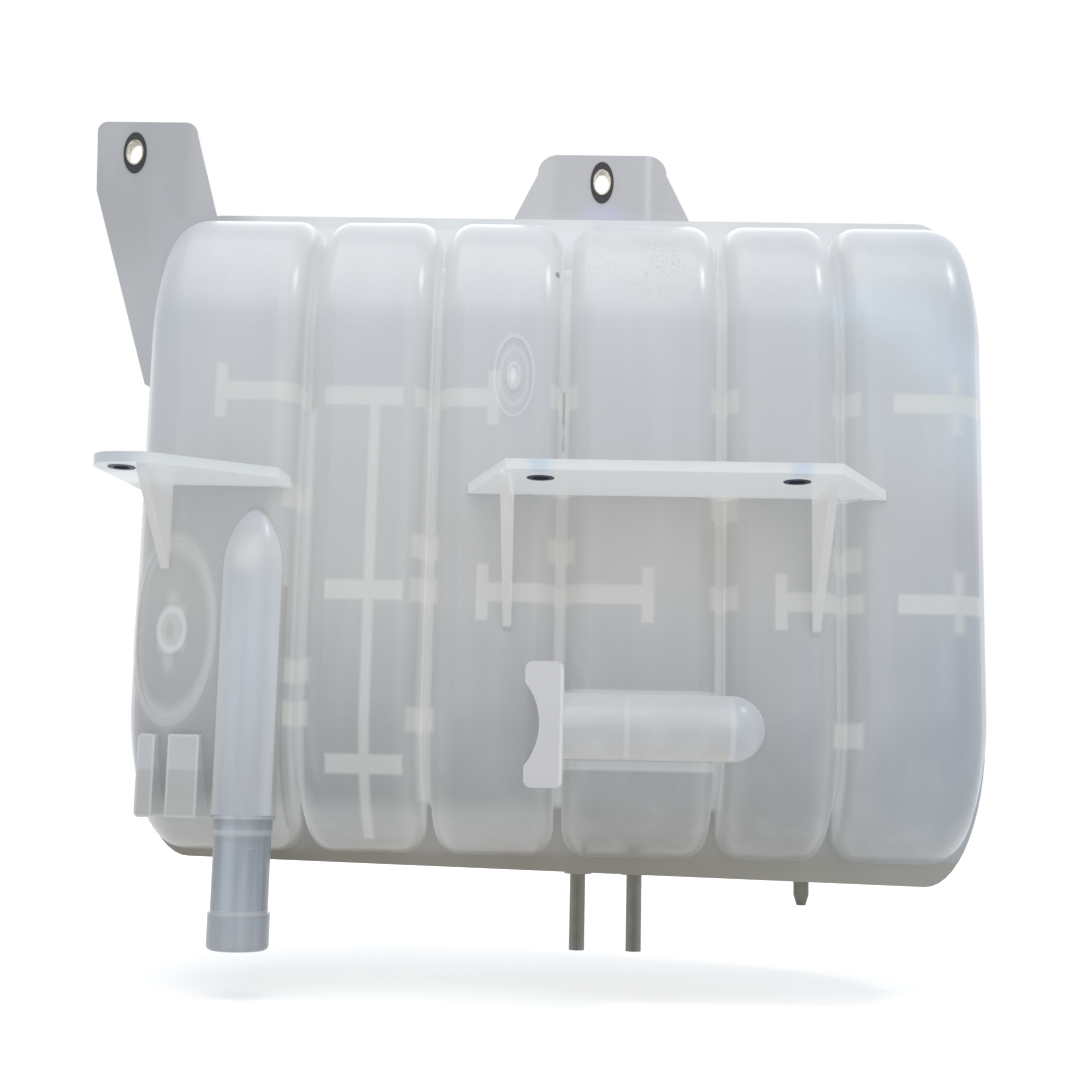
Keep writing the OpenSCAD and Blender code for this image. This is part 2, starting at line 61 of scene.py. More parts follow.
# Lamps: name, place from the middle of the tank and width in metres, power in watts
LAMPS = (
    ("top_light", (-0.2, -0.5, 1.2), 1.4, 8.8),
    ("front_light", (0.3, -1.7, 0.5), 1.6, 8.2),
    ("window_light", (0.85, -0.3, 1.15), 0.22, 3.6),
    ("back_light", (0, 1.7, 0.6), 1.6, 9),
)

# Camera of the photograph, found from the weld plane's corners and the shelves; its place is in
# millimetres, its turns in degrees and how far it sees in metres
CAMERA_PLACE = (-8.3, -950.9, -363.2)
CAMERA_YAW_PITCH_ROLL = (-1.49, 8.58, 1.22)
CAMERA_LENS = 54.6
CAMERA_SENSOR = 36
CAMERA_FAR = 20


# Frame

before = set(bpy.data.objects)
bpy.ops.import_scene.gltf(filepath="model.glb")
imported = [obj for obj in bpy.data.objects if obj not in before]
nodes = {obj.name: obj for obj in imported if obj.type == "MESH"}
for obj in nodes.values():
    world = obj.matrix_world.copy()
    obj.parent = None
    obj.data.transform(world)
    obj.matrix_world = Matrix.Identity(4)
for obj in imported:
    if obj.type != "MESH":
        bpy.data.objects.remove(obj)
CAD_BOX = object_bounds()

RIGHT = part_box("front_shell")[1].x / MM - RIM_SIDE
LEFT = RIGHT - BODY_W
TOP = -EYE_ABOVE_TOP
BOTTOM = TOP - BODY_H
GROOVES = [LEFT + sum(LOBE_WIDTHS[:i + 1]) for i in range(len(LOBE_WIDTHS))]
G1, G2, G3, G4, G5 = GROOVES
FACE = -HALF_D
SHELF_Z = TOP - 175.7
DUCT_X = G1 - 22.5
SLEEVE_X = G3 + 3
SLEEVE_Z = BOTTOM + 70.5
DISH = (LEFT + 35, BOTTOM + 118)
GATE = (G3 - 27.5, TOP - 110)
BUSHES = (G4 - 97, G4 + 33)


def linear(level):
    """Linear value of a display level from 0 to 255."""
    c = level / 255
    return c / 12.92 if c <= 0.04045 else ((c + 0.055) / 1.055) ** 2.4


def colour(r, g, b):
    return (linear(r), linear(g), linear(b), 1.0)


# Node graphs

class Nodes:
    """Builds a node tree, with numbers and sockets mixed freely as inputs."""

    def __init__(self, tree):
        self.tree = tree
        tree.nodes.clear()

    def node(self, kind, **settings):
        made = self.tree.nodes.new(kind)
        for key, value in settings.items():
            setattr(made, key, value)
        return made

    def feed(self, socket, value):
        if isinstance(value, bpy.types.NodeSocket):
            self.tree.links.new(value, socket)
        else:
            socket.default_value = value

    def math(self, operation, a, b=0.0, clamp=False):
        made = self.node("ShaderNodeMath", operation=operation, use_clamp=clamp)
        self.feed(made.inputs[0], a)
        self.feed(made.inputs[1], b)
        return made.outputs[0]

    def both(self, *masks):
        total = masks[0]
        for mask in masks[1:]:
            total = self.math("MULTIPLY", total, mask)
        return total

    def largest(self, values):
        total = values[0]
        for value in values[1:]:
            total = self.math("MAXIMUM", total, value)
        return total

    def distance(self, value, middle):
        return self.math("ABSOLUTE", self.math("SUBTRACT", value, middle))

    def smooth(self, value, start, end, low=0.0, high=1.0):
        """low where value is at start, high where it is at end, and a smooth step between."""
        made = self.node("ShaderNodeMapRange", interpolation_type="SMOOTHSTEP")
        if start > end:
            start, end, low, high = end, start, high, low
        for i, item in enumerate((value, start, end, low, high)):
            self.feed(made.inputs[i], item)
        return made.outputs[0]

    def mix(self, factor, a, b):
        made = self.node("ShaderNodeMix", data_type="RGBA")
        self.feed(made.inputs[0], factor)
        self.feed(made.inputs[6], a)
        self.feed(made.inputs[7], b)
        return made.outputs[2]


class Graph(Nodes):
    """Nodes of a material; x, y and z are the place in the shared frame in millimetres."""

    def __init__(self, name):
        self.material = bpy.data.materials.new(name)
        self.material.use_nodes = True
        super().__init__(self.material.node_tree)
        self.place = self.node("ShaderNodeTexCoord").outputs["Object"]
        split = self.node("ShaderNodeSeparateXYZ")
        self.feed(split.inputs[0], self.place)
        self.x, self.y, self.z = (self.math("MULTIPLY", s, 1 / MM) for s in split.outputs)

    def tint(self, tone, mask, strength, shade):
        return self.mix(self.math("MULTIPLY", mask, strength), tone, shade)

    def ramp(self, value, stops):
        """Colours along a value: stops are (value, colour) pairs in rising order."""
        low, high = stops[0][0], stops[-1][0]
        made = self.node("ShaderNodeValToRGB")
        share = self.math("DIVIDE", self.math("SUBTRACT", value, low), high - low, clamp=True)
        self.feed(made.inputs[0], share)
        elements = made.color_ramp.elements
        while len(elements) < len(stops):
            elements.new(1.0)
        for element, (at, shade) in zip(elements, stops):
            element.position = (at - low) / (high - low)
            element.color = shade
        return made.outputs[0]

    def noise(self, scale, detail=3.0, stretch=(1, 1, 1)):
        """Noise from 0 to 1; scale is in cycles per metre."""
        mapping = self.node("ShaderNodeMapping")
        self.feed(mapping.inputs["Vector"], self.place)
        self.feed(mapping.inputs["Scale"], stretch)
        made = self.node("ShaderNodeTexNoise")
        self.feed(made.inputs["Vector"], mapping.outputs[0])
        self.feed(made.inputs["Scale"], scale)
        self.feed(made.inputs["Detail"], detail)
        return made.outputs[0]

    def bar(self, x0, x1, z0, z1, soft=2.0):
        """1 inside a rectangle seen from the front, 0 outside, with a soft edge."""
        off_x = self.math("SUBTRACT", self.distance(self.x, (x0 + x1) / 2), abs(x1 - x0) / 2)
        off_z = self.math("SUBTRACT", self.distance(self.z, (z0 + z1) / 2), abs(z1 - z0) / 2)
        return self.smooth(self.math("MAXIMUM", off_x, off_z), soft, -soft)

    def spot(self, x, z, a, b, soft=0.2):
        """1 inside an ellipse seen from the front, 0 outside; soft is a share of its size."""
        dx = self.math("DIVIDE", self.math("SUBTRACT", self.x, x), a)
        dz = self.math("DIVIDE", self.math("SUBTRACT", self.z, z), b)
        square = self.math("ADD", self.math("MULTIPLY", dx, dx), self.math("MULTIPLY", dz, dz))
        return self.smooth(self.math("SQRT", square), 1 + soft, 1 - soft)

    def ring(self, x, z, a, b, inner, soft=0.06):
        """1 between an ellipse and its copy at the share inner, 0 elsewhere."""
        outside = self.spot(x, z, a, b, soft)
        hole = self.spot(x, z, a * inner, b * inner, soft)
        return self.math("SUBTRACT", outside, hole, clamp=True)

    def bump(self, height, strength, distance):
        made = self.node("ShaderNodeBump")
        self.feed(made.inputs["Height"], height)
        self.feed(made.inputs["Strength"], strength)
        self.feed(made.inputs["Distance"], distance)
        return made.outputs[0]

    def show(self, shader):
        output = self.node("ShaderNodeOutputMaterial")
        self.feed(output.inputs[0], shader.outputs[0])
        return self.material

    def finish(self, shade, roughness, glow=0.0, metallic=0.0, normal=None):
        """glow is the share of the colour that a piece gives off as painted light, in place of light
        passing through it.
        """
        shader = self.node("ShaderNodeBsdfPrincipled")
        lit = self.mix(glow, shade, (0, 0, 0, 1)) if glow else shade
        self.feed(shader.inputs["Base Color"], lit)
        self.feed(shader.inputs["Roughness"], roughness)
        self.feed(shader.inputs["Metallic"], metallic)
        if glow:
            self.feed(shader.inputs["Emission Color"], shade)
            self.feed(shader.inputs["Emission Strength"], glow)
        if normal is not None:
            self.feed(shader.inputs["Normal"], normal)
        return self.show(shader)


def dress(node, material):
    slots = nodes[node].data.materials
    slots.clear()
    slots.append(material)


# Milky plastic

PALE = colour(220, 223, 223)
WHITE = colour(230, 233, 236)
DIRT = colour(138, 128, 112)


def milky_tone(g):
    """Light from above fades down the tank, from cool near white to warm grey."""
    return g.ramp(g.z, [
        (BOTTOM - 14, colour(126, 122, 111)),
        (BOTTOM + 2, colour(136, 133, 125)),
        (BOTTOM + 16, colour(152, 152, 149)),
        (BOTTOM + 37, colour(150, 152, 153)),
        (BOTTOM + 73, colour(156, 157, 160)),
        (BOTTOM + 110, colour(165, 166, 169)),
        (BOTTOM + 137, colour(174, 175, 176)),
        (BOTTOM + 175, colour(175, 176, 177)),
        (BOTTOM + 230, colour(183, 185, 188)),
        (BOTTOM + 263, colour(185, 187, 191)),
        (BOTTOM + 292, colour(189, 192, 197)),
        (BOTTOM + 304, colour(197, 200, 204)),
        (BOTTOM + 325, colour(199, 201, 204)),
        (BOTTOM + 346, colour(194, 196, 200)),
        (BOTTOM + 376, colour(206, 209, 213)),
    ])


def tie_marks(g):
    """Pale bars and posts where the webs inside touch the wall."""
    row_a, row_b, row_c = TOP - 122, TOP - 230, TOP - 321
    marks = []

    def web(x0, x1, z, left_cap, right_cap):
        marks.append(g.bar(x0, x1, z - 5.2, z + 5.2, 1.1))
        for capped, x in ((left_cap, x0 + 3.2), (right_cap, x1 - 3.2)):
            if capped:
                marks.append(g.bar(x - 3.2, x + 3.2, z - 15, z + 15, 1.1))

    web(LEFT + 52, G1 + 3, row_a + 2, True, False)
    web(G1 + 12, G2 - 16, row_a, False, False)
    web(G2 - 10, G3 - 35, row_a, False, True)
    web(G5 + 27, RIGHT - 12, row_a, False, False)
    web(G1 + 16, G2 - 13, row_b + 1.5, False, False)
    web(G3 - 45, G3 + 50, row_b + 1.5, True, True)
    web(G5 - 37, G5 + 10, row_b - 1, True, False)
    web(G5 + 28, RIGHT - 14, row_b - 1, False, False)
    web(G1 + 19, G2 - 11, row_c, False, False)
    marks.append(g.bar(G1 + 37, G1 + 42.5, BOTTOM + 9, row_a, 1.3))
    for z in (row_a, row_b):
        marks.append(g.bar(RIGHT - 30, RIGHT - 25, z - 16, z + 16, 3))
    posts = {
        G1 - 2: (177,), G1 + 2: (272, 295), G2 - 2: (204, 227.5, 297),
        G3: (120, 205), G4 + 1: (121, 181, 229), G5 + 2: (122, 207.5, 301),
    }
    for x, drops in posts.items():
        for drop in drops:
            marks.append(g.bar(x - 7.2, x + 7.2, TOP - drop - 6.5, TOP - drop + 6.5, 1.6))
    return g.largest(marks)


def lobe_edge_light(g, tone):
    """Painted light: pale lines in the grooves, paler shoulders beside them, paler feet on the left
    lobes and whiter groove shoulders near the top.
    """
    near = [g.distance(g.x, x) for x in GROOVES]
    body = g.smooth(g.math("ABSOLUTE", g.y), 8, 22)
    shoulder = g.largest([g.smooth(off, 19, 4) for off in near])
    line = g.largest([g.smooth(off, 3.6, 1.4) for off in near])
    tone = g.tint(tone, g.both(shoulder, body), 0.20, colour(212, 213, 208))
    tone = g.tint(tone, g.both(line, body), 0.36, WHITE)
    foot = g.smooth(g.distance(g.z, BOTTOM + 17), 18, 4)
    left = g.smooth(g.x, G3 + 10, G3 - 20)
    tone = g.tint(tone, g.both(foot, body, left), 0.22, PALE)
    high = g.smooth(g.z, TOP - 75, TOP - 20)
    deep = g.smooth(g.math("ABSOLUTE", g.y), 24, 12)
    return g.tint(tone, g.both(shoulder, deep, high), 0.5, WHITE)


def end_shade(g, tone):
    """The ends turn away from the light, so they are darker and bluer towards the top."""
    off = g.math("MINIMUM", g.math("SUBTRACT", g.x, LEFT), g.math("SUBTRACT", RIGHT, g.x))
    side = g.smooth(off, 70, 8)
    high = g.smooth(g.z, BOTTOM + 190, BOTTOM + 320)
    tone = g.tint(tone, g.both(side, high), 0.5, colour(166, 174, 184))
    # Painted shade, cool and bluish, also lies over the upper right lobes and low on the right
    upper_right = g.both(g.smooth(g.x, G4 - 10, RIGHT - 60),
                         g.smooth(g.z, BOTTOM + 150, BOTTOM + 260))
    tone = g.tint(tone, upper_right, 0.36, colour(174, 186, 194))
    lower_right = g.both(g.smooth(g.x, G4, RIGHT - 20), g.smooth(g.z, BOTTOM + 250, BOTTOM + 120))
    return g.tint(tone, lower_right, 0.35, colour(150, 166, 182))


def painted_cool_reflections(g, tone):
    """Painted cool reflections on the upper end of the last lobe."""
    blue = colour(196, 214, 230)
    for x, z, a, b in ((RIGHT - 74, TOP - 64, 26, 9), (RIGHT - 52, TOP - 78, 24, 9),
                       (RIGHT - 30, TOP - 96, 22, 12), (RIGHT - 22, TOP - 130, 14, 34)):
        tone = g.tint(tone, g.spot(x, z, a, b, 0.9), 0.3, blue)
    return tone


def sleeve_marks(g, tone, proud):
    """The sleeve's collar, joint line and bluish end, and the pale webs above and below it."""
    collar = g.both(g.bar(SLEEVE_X - 21, SLEEVE_X, SLEEVE_Z - 33, SLEEVE_Z + 33, 0.8), proud)
    tone = g.tint(tone, collar, 0.8, colour(191, 191, 194))
    # Painted highlights along the collar's two edges
    edge = g.both(collar, g.smooth(g.distance(g.x, SLEEVE_X - 10.5), 8.4, 9.6))
    tone = g.tint(tone, edge, 0.5, PALE)
    level = g.smooth(g.distance(g.z, SLEEVE_Z), 17, 15)
    joint = g.both(g.smooth(g.distance(g.x, SLEEVE_X + 32.6), 2.4, 0.5), level, proud)
    tone = g.tint(tone, joint, 0.22, PALE)
    end = g.both(g.smooth(g.x, SLEEVE_X + 84, SLEEVE_X + 90), level, proud)
    tone = g.tint(tone, end, 0.45, colour(174, 182, 194))
    start = g.both(g.smooth(g.distance(g.x, SLEEVE_X + 86.5), 2.0, 0.8), level, proud)
    tone = g.tint(tone, start, 0.3, colour(210, 216, 224))
    for z, half in ((SLEEVE_Z - 19.6, 2.6), (SLEEVE_Z + 18.4, 1.5)):
        web = g.both(g.bar(G3 + 2, G4 - 1, z - half, z + half, 0.9), g.smooth(proud, 0.9, 0.1))
        tone = g.tint(tone, web, 0.4, PALE)
    return tone


def proud_pieces(g, tone):
    """Shelves, gussets, duct, sleeve and guides stand in front of the lobes, in fuller light."""
    proud = g.smooth(g.y, FACE - 1.8, FACE - 3.4)
    shade = g.ramp(g.z, [
        (SLEEVE_Z - 34, colour(172, 171, 167)),
        (SLEEVE_Z - 14, colour(184, 184, 182)),
        (SLEEVE_Z - 2, colour(178, 179, 183)),
        (SLEEVE_Z + 13, colour(198, 200, 203)),
        (SLEEVE_Z + 34, colour(198, 199, 198)),
        (SHELF_Z - 8, colour(203, 203, 201)),
        (SHELF_Z + 1, colour(212, 216, 218)),
        (SHELF_Z + 8, colour(202, 208, 211)),
    ])
    tone = g.mix(proud, tone, shade)
    cloud = g.smooth(g.noise(60, 4.0, (1, 0.4, 1)), 0.4, 0.7)
    tone = g.tint(tone, g.both(cloud, proud), 0.12, colour(222, 226, 230))
    tone = sleeve_marks(g, tone, proud)
    duct = g.smooth(g.distance(g.x, DUCT_X), 18.2, 17.2)
    below_shelf = g.smooth(g.z, SHELF_Z - 2, SHELF_Z - 4)
    # Painted light on the duct: darker towards its foot, paler up towards the shelf
    duct_tone = g.ramp(g.z, [
        (BOTTOM + 21, colour(158, 165, 171)),
        (BOTTOM + 36, colour(164, 168, 174)),
        (BOTTOM + 73, colour(174, 179, 186)),
        (BOTTOM + 110, colour(180, 186, 193)),
        (BOTTOM + 146, colour(184, 189, 195)),
        (BOTTOM + 164, colour(196, 199, 202)),
        (BOTTOM + 178, colour(198, 203, 208)),
        (BOTTOM + 192, colour(196, 201, 208)),
    ])
    streaks = g.smooth(g.noise(55, 3.0, (1, 1, 0.12)), 0.42, 0.7)
    duct_tone = g.tint(duct_tone, streaks, 0.25, colour(206, 212, 220))
    # Painted highlight near the top of the duct
    tip = g.spot(DUCT_X - 3, BOTTOM + 158, 6, 8, 0.9)
    duct_tone = g.tint(duct_tone, tip, 0.35, colour(230, 230, 224))
    # Painted light along both sides of the duct
    edges = g.smooth(g.distance(g.x, DUCT_X), 9, 15)
    duct_tone = g.tint(duct_tone, edges, 0.40, colour(214, 217, 218))
    return g.mix(g.both(duct, proud, below_shelf), tone, duct_tone)


def clip_edges(g, tone):
    """Thin white edges and a paler upper half on the two guides for the hose clip."""
    front = g.smooth(g.y, FACE - 1.2, FACE - 2.4)
    low, high = BOTTOM + 19, BOTTOM + 62.5
    for x0, x1 in ((LEFT + 21, LEFT + 30), (LEFT + 37, LEFT + 53.5)):
        whole = g.bar(x0, x1, low, high, 0.5)
        inner = g.bar(x0 + 1.2, x1 - 1.2, low + 1.2, high - 1.2, 0.5)
        tone = g.tint(tone, whole, 0.75, colour(166, 168, 169))
        upper = g.both(whole, g.smooth(g.z, BOTTOM + 43, BOTTOM + 45))
        tone = g.tint(tone, upper, 0.5, colour(188, 193, 198))
        edge = g.math("SUBTRACT", whole, inner, clamp=True)
        tone = g.tint(tone, g.both(edge, front), 0.3, colour(214, 218, 221))
    return tone


def dish_and_gate(g, tone):
    """The pale ring, boss and gate mark that the mould leaves on the lobes."""
    low = g.smooth(g.y, FACE - 2.4, FACE - 1.6)
    x, z = DISH
    ring = g.both(g.ring(x, z, 24.5, 52, 0.80, 0.10), low)
    tone = g.tint(tone, ring, 0.34, colour(214, 216, 214))
    tone = g.tint(tone, g.both(g.spot(x, z, 20, 42), low), 0.14, colour(172, 170, 160))
    pale_spots = ((0, 14, 3.4, 6), (-1, -15, 3.0, 7), (5, 9, 2.4, 5),
                  (-5, -8, 2.4, 5), (6, -7, 2, 5))
    for dx, dz, a, b in pale_spots:
        tone = g.tint(tone, g.spot(x + dx, z + dz, a, b, 0.6), 0.3, colour(206, 208, 208))
    tone = g.tint(tone, g.spot(x, z, 8.2, 12.8, 0.16), 0.6, colour(196, 198, 198))
    tone = g.tint(tone, g.ring(x + 0.4, z, 7.8, 12.4, 0.74, 0.12), 0.3, colour(226, 228, 228))
    tone = g.tint(tone, g.spot(x - 0.6, z - 0.5, 2.0, 4.4, 0.6), 0.5, colour(164, 164, 160))
    x, z = GATE
    for size, inner, strength in ((1.0, 0.88, 0.22), (0.70, 0.86, 0.18)):
        tone = g.tint(tone, g.ring(x, z, 11.6 * size, 24 * size, inner, 0.07), strength, WHITE)
    tone = g.tint(tone, g.spot(x, z + 1, 4.6, 9, 0.25), 0.35, colour(222, 226, 228))
    tone = g.tint(tone, g.ring(x, z + 1, 4.8, 9.4, 0.74, 0.15), 0.25, colour(168, 172, 178))
    return g.tint(tone, g.spot(x - 0.5, z + 1, 1.6, 4, 0.4), 0.5, WHITE)


def groove_light_and_crease_shade(g, tone):
    """Painted light: right of the duct the first groove's wall shows as a broad pale band, with a
    second pale band at the second groove; beside the duct a dark crease is painted shade.
    """
    body = g.smooth(g.z, BOTTOM + 4, BOTTOM + 24)
    wall = g.bar(G1 + 2, G1 + 7, BOTTOM + 10, TOP - 130, 1.6)
    tone = g.tint(tone, g.both(wall, body), 0.40, colour(226, 228, 228))
    second = g.bar(G2 - 4.5, G2 - 0.5, BOTTOM + 30, TOP - 126, 1.4)
    tone = g.tint(tone, g.both(second, body), 0.30, colour(226, 226, 222))
    crease_shade = g.bar(G1 - 6.2, G1 - 5.0, BOTTOM + 14, BOTTOM + 143, 0.9)
    return g.tint(tone, crease_shade, 0.45, colour(132, 130, 122))


def rim_highlight_and_shade(g, tone):
    """The weld rim: a pale thin edge above as a painted highlight, and a warm dark band below as
    painted shade that clears to the right.
    """
    thin = g.smooth(g.math("ABSOLUTE", g.y), 4.6, 4.1)
    below = g.smooth(g.z, BOTTOM + 4, BOTTOM - 2)
    above = g.smooth(g.z, TOP - 1, TOP + 1)
    right = g.smooth(g.x, -40, RIGHT)
    tone = g.tint(tone, g.both(thin, below), 0.6, colour(121, 116, 103))
    tone = g.tint(tone, g.both(thin, below, right), 0.6, colour(152, 152, 146))
    tone = g.tint(tone, g.both(thin, above), 0.6, colour(208, 212, 214))
    corner = g.both(g.smooth(g.x, LEFT + 62, LEFT + 30), g.smooth(g.z, TOP - 150, TOP - 110))
    return g.tint(tone, g.both(thin, corner), 1.0, colour(168, 170, 174))


def shelf_marks(g, tone):
    """Bluish shade in front of each bush, and dirt in the corners of the shelves."""
    shelf = g.smooth(g.distance(g.z, SHELF_Z + 2.7), 5.5, 4.5)
    front = g.smooth(g.y, FACE - 58, FACE - 68)
    for x in BUSHES:
        spot = g.smooth(g.distance(g.x, x), 8, 2)
        tone = g.tint(tone, g.both(spot, front, shelf), 0.55, colour(176, 196, 214))
    left_end = g.both(g.smooth(g.x, LEFT + 36, LEFT + 20), g.smooth(g.y, FACE - 30, FACE - 44))
    tone = g.tint(tone, g.both(left_end, shelf), 0.6, colour(172, 180, 190))
    under = g.both(g.spot(30, SHELF_Z - 20, 80, 34, 0.7), g.smooth(g.y, FACE - 3, FACE - 1))
    tone = g.tint(tone, under, 0.30, colour(190, 187, 174))
    back = g.smooth(g.y, FACE - 16, FACE - 3)
    proud = g.smooth(g.y, FACE - 0.5, FACE - 1.5)
    specks = g.smooth(g.noise(160, 6.0, (1, 1, 0.5)), 0.56, 0.68)
    return g.tint(tone, g.both(specks, back, proud, shelf), 0.35, DIRT)


def dirt_marks(g, tone):
    """Brown specks on top of the fourth lobe, a chip beside the third groove and a short dark line
    in it.
    """
    patch = g.bar(G3 + 14, G3 + 72, TOP - 60, TOP - 4, 16)
    specks = g.smooth(g.noise(900, 5.0, (1, 1, 0.6)), 0.54, 0.66)
    cloud = g.noise(45, 3.0)
    specks = g.both(patch, specks, g.smooth(cloud, 0.35, 0.6))
    tone = g.tint(tone, specks, 0.5, colour(166, 154, 138))
    tone = g.tint(tone, g.spot(G3 - 5, TOP - 48, 1.1, 1.9, 0.4), 0.75, colour(104, 100, 98))
    groove_dark_line = g.both(g.bar(G3 - 0.9, G3 + 0.3, TOP - 146, TOP - 112, 0.7), g.smooth(cloud, 0.35, 0.55))
    tone = g.tint(tone, groove_dark_line, 0.6, colour(128, 120, 108))
    scatter = g.smooth(g.noise(420, 2.0), 0.745, 0.775)
    return g.tint(tone, scatter, 0.28, DIRT)


def milky(name, front):
    """Natural plastic of the shells; front adds what shows on the side with the shelves."""
    g = Graph(name)
    tone = milky_tone(g)
    tone = end_shade(g, tone)
    tone = lobe_edge_light(g, tone)
    cloud = g.noise(8, 3.0, (1, 1, 0.6))
    tone = g.tint(tone, g.smooth(cloud, 0.42, 0.72), 0.16, colour(214, 218, 224))
    tone = g.tint(tone, g.smooth(cloud, 0.52, 0.28), 0.14, colour(150, 156, 172))
    streaks = g.noise(70, 4.0, (1, 1, 0.08))
    tone = g.tint(tone, g.smooth(streaks, 0.45, 0.75), 0.06, WHITE)
    fine = g.noise(1300, 2.0)
    tone = g.tint(tone, g.smooth(fine, 0.45, 0.7), 0.07, colour(150, 156, 166))
    tone = rim_highlight_and_shade(g, tone)
    behind = g.smooth(g.math("ABSOLUTE", g.y), 8, 20)
    if front:
        tone = painted_cool_reflections(g, tone)
        tone = g.tint(tone, g.both(tie_marks(g), behind), 0.46, colour(213, 214, 210))
        tone = groove_light_and_crease_shade(g, tone)
        tone = dish_and_gate(g, tone)
        tone = proud_pieces(g, tone)
        tone = clip_edges(g, tone)
        tone = shelf_marks(g, tone)
        tone = dirt_marks(g, tone)
    else:
        tone = g.tint(tone, g.both(tie_marks(g), behind), 0.30, colour(216, 218, 216))
        tone = lug_tone(g, tone)
    grain = g.noise(900, 2.0)
    waves = g.noise(28, 2.0, (1, 1, 0.35))
    # Fine ribs, 2 mm apart, run across the right end
    ribs = g.math("SINE", g.math("MULTIPLY", g.z, math.pi))
    end_ribs = g.both(ribs, g.smooth(g.x, RIGHT - 16, RIGHT - 8))
    height = g.math("ADD", g.math("MULTIPLY", grain, 0.25), g.math("MULTIPLY", waves, 1.4))
    height = g.math("ADD", height, g.math("MULTIPLY", end_ribs, 0.35))
    normal = g.bump(height, 0.35, 0.0006)
    return g.finish(tone, SHELL_ROUGHNESS, glow=SHELL_GLOW, normal=normal)


def lug_tone(g, tone):
    """The lug plates are thin and lie in less light than the lobes; the centre one has a fold."""
    plate = g.smooth(g.distance(g.y, 2.5), 3.6, 2.9)
    above = g.smooth(g.z, TOP + RIM_TOP - 0.5, TOP + RIM_TOP + 0.5)
    beside = g.smooth(g.x, LEFT - RIM_SIDE + 1.5, LEFT - RIM_SIDE - 0.5)
    lug = g.both(plate, g.largest([above, beside]))
    left = g.ramp(g.x, [
        (LEFT - 52, colour(156, 158, 162)),
        (LEFT - 40, colour(162, 164, 167)),
        (LEFT + 8, colour(161, 163, 167)),
        (LEFT + 12, colour(167, 168, 171)),
        (LEFT + 30, colour(172, 174, 178)),
    ])
    tone = g.mix(lug, tone, left)
    foot = g.both(lug, g.smooth(g.z, TOP + 10, TOP - 60), g.smooth(g.x, LEFT + 20, LEFT))
    tone = g.tint(tone, foot, 0.7, colour(182, 185, 188))
    centre = g.both(lug, g.smooth(g.x, LEFT + 120, LEFT + 140))
    tone = g.tint(tone, centre, 0.9, colour(173, 174, 178))
    # Painted light on the fold of the centre lug, as a paler strip
    fold = g.both(centre, g.smooth(g.distance(g.x, LUG_FOLD_X), 3.0, 0.8))
    tone = g.tint(tone, fold, 0.5, colour(198, 200, 204))
    tone = g.tint(tone, g.both(centre, g.smooth(g.x, -24, -34)), 0.4, colour(192, 194, 196))
    tone = g.tint(tone, g.both(centre, g.smooth(g.z, -16, -24)), 0.3, colour(188, 190, 200))
    below_eye = g.both(centre, g.spot(1, -21, 11, 6, 0.9))
    tone = g.tint(tone, below_eye, 0.6, colour(178, 180, 212))
    cloud = g.smooth(g.noise(30, 3.0, (1, 1, 0.3)), 0.4, 0.7)
    return g.tint(tone, g.both(lug, cloud), 0.2, colour(196, 198, 202))


def spigot_plastic():
    g = Graph("spigot_plastic")
    shoulder = BOTTOM + 21
    across = g.math("MULTIPLY", g.math("SUBTRACT", g.x, DUCT_X), 1 / 16)
    tone = g.ramp(g.z, [
        (shoulder - 74, colour(158, 162, 166)),
        (shoulder - 56, colour(152, 159, 166)),
        (shoulder - 48, colour(150, 157, 165)),
        (shoulder - 30, colour(142, 150, 158)),
        (shoulder - 14, colour(138, 146, 155)),
        (shoulder - 3, colour(150, 156, 164)),
    ])
    body = g.smooth(g.z, shoulder - 54, shoulder - 47)
    # Painted shade: the spigot darkens towards its sides
    edges = g.smooth(g.math("ABSOLUTE", across), 0.42, 0.92)
    tone = g.tint(tone, g.both(edges, g.smooth(body, -0.8, 1.0)), 0.6, colour(108, 114, 118))
    # Painted highlight: a bright streak runs down left of the spigot's middle
    highlight_streak = g.smooth(g.distance(across, -0.28), 0.34, 0.06)
    tone = g.tint(tone, g.both(highlight_streak, body), 0.5, colour(184, 192, 200))
    streaks = g.noise(160, 3.0, (1, 1, 0.05))
    tone = g.tint(tone, g.smooth(streaks, 0.42, 0.72), 0.4, colour(172, 180, 188))
    for drop, width, strength in ((1.2, 1.3, 0.25), (9.0, 2.2, 0.32), (50.0, 1.6, 0.3)):
        line = g.smooth(g.distance(g.z, shoulder - drop), width, width * 0.3)
        tone = g.tint(tone, line, strength, colour(208, 212, 212))
    for drop in (4.5, 12.5):
        line = g.smooth(g.distance(g.z, shoulder - drop), 2.2, 0.4)
        tone = g.tint(tone, line, 0.2, colour(122, 128, 134))
    specks = g.smooth(g.noise(500, 2.0), 0.70, 0.74)
    tone = g.tint(tone, specks, 0.5, colour(205, 210, 214))
    return g.finish(tone, 0.3, glow=0.35, normal=g.bump(g.noise(500, 2.0), 0.08, 0.0005))


